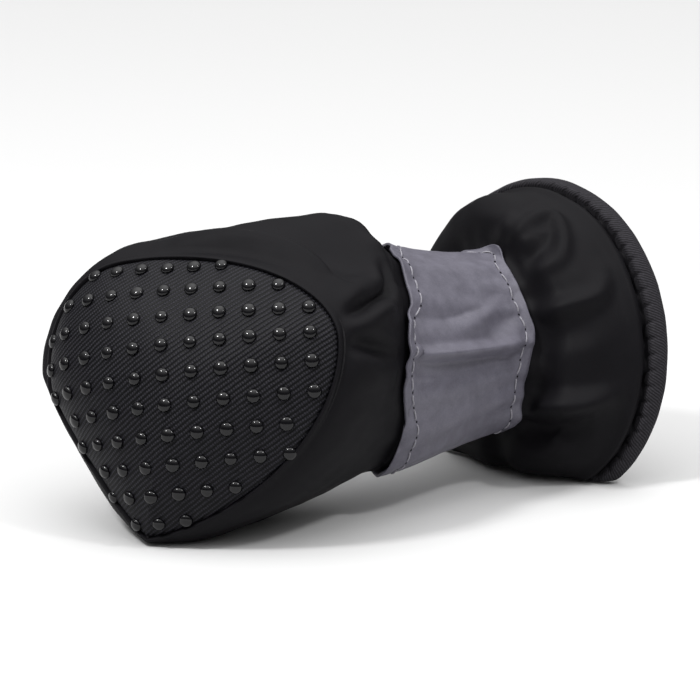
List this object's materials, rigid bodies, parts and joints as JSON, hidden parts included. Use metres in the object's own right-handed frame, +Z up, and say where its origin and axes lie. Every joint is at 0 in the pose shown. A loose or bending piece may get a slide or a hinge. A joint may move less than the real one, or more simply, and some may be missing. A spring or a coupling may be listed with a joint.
{
  "type": "dog boot",
  "caption": "Soft fabric dog boot with a domed, studded grip sole, a gathered ankle in a reflective band and a wide bound collar, lying on its side.",
  "frame": {"origin": "on the floor, under the middle of the boot's bounding box", "axes": "+X along the boot's shaft from the foot to the collar's mouth, +Z up; the boot lies on its right side with its sole facing -X and -Y"},
  "size_m": [0.1004, 0.0574, 0.05],
  "materials": {
    "upper_fabric": "matte black stretch soft-shell",
    "sole_rubber": "rubber-coated twill with moulded studs",
    "reflective_tape": "grey retro-reflective cloth tape",
    "binding_tape": "black knitted folding tape"
  },
  "bodies": {
    "root": {"upper": "upper_fabric", "sole": "sole_rubber", "reflective_band": "reflective_tape", "collar_binding": "binding_tape"}
  },
  "joints": []
}
